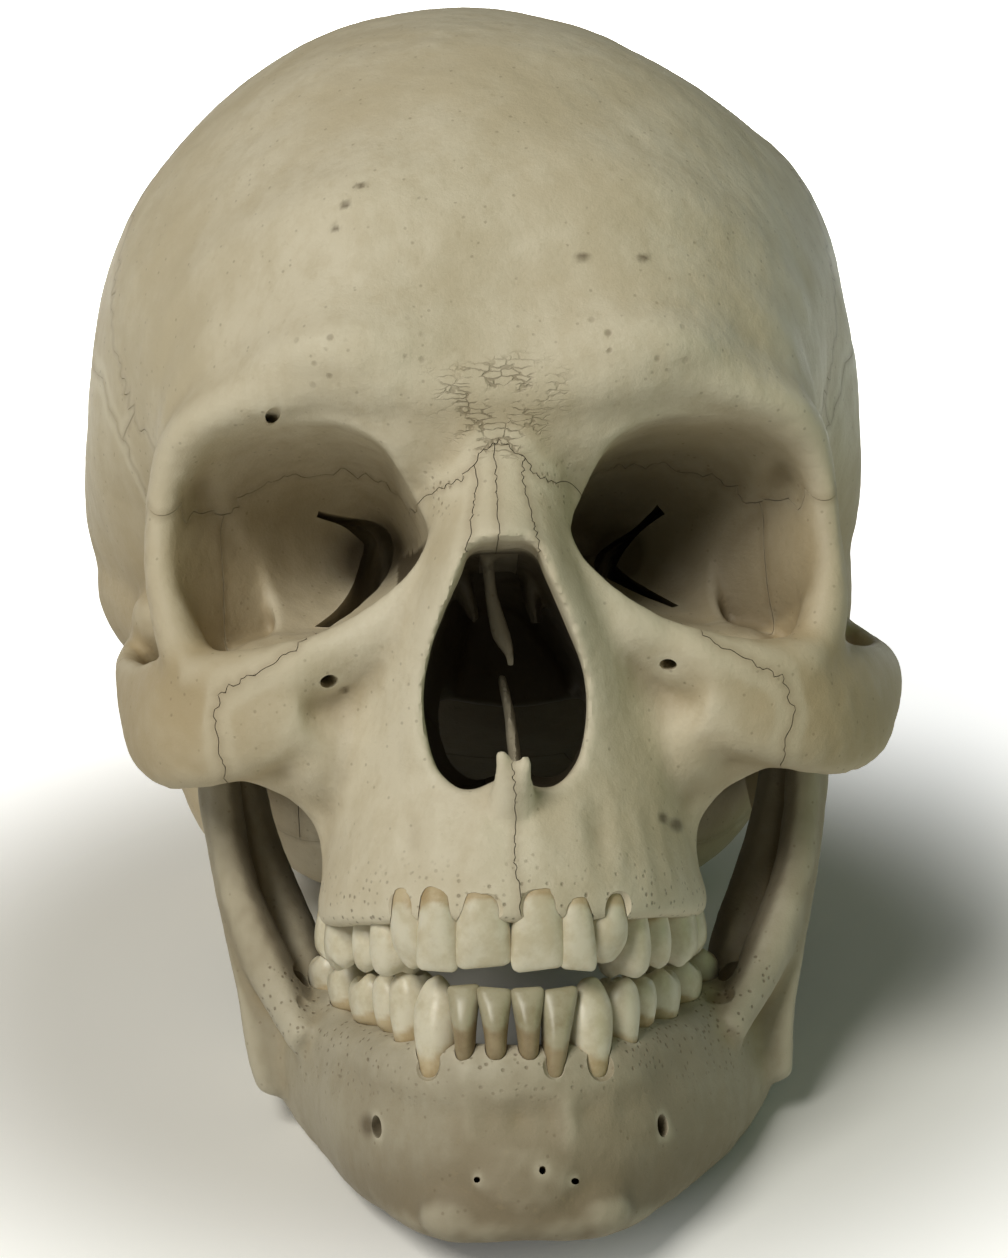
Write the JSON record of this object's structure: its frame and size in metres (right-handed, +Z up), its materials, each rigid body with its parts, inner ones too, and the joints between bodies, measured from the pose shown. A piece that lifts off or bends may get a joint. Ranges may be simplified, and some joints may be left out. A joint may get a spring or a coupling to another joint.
{
  "type": "human skull with lower jaw",
  "caption": "Life-size human skull with its lower jaw and teeth, lying on a table on the jaw and the back of the head.",
  "frame": {"origin": "on the table under the centre of the skull's bounding box", "axes": "+Z up, +Y towards the back of the head, +X towards the skull's own left"},
  "size_m": [0.1414, 0.2232, 0.1709],
  "materials": {
    "bone": "matt, dry bone"
  },
  "bodies": {
    "root": {"frontal": "bone", "parietal_left": "bone", "parietal_right": "bone", "occipital": "bone", "temporal_left": "bone", "temporal_right": "bone", "sphenoid": "bone", "ethmoid": "bone", "vomer": "bone", "zygomatic_left": "bone", "zygomatic_right": "bone", "nasal_left": "bone", "nasal_right": "bone", "maxilla_left": "bone", "maxilla_right": "bone", "mandible": "bone"}
  },
  "joints": []
}
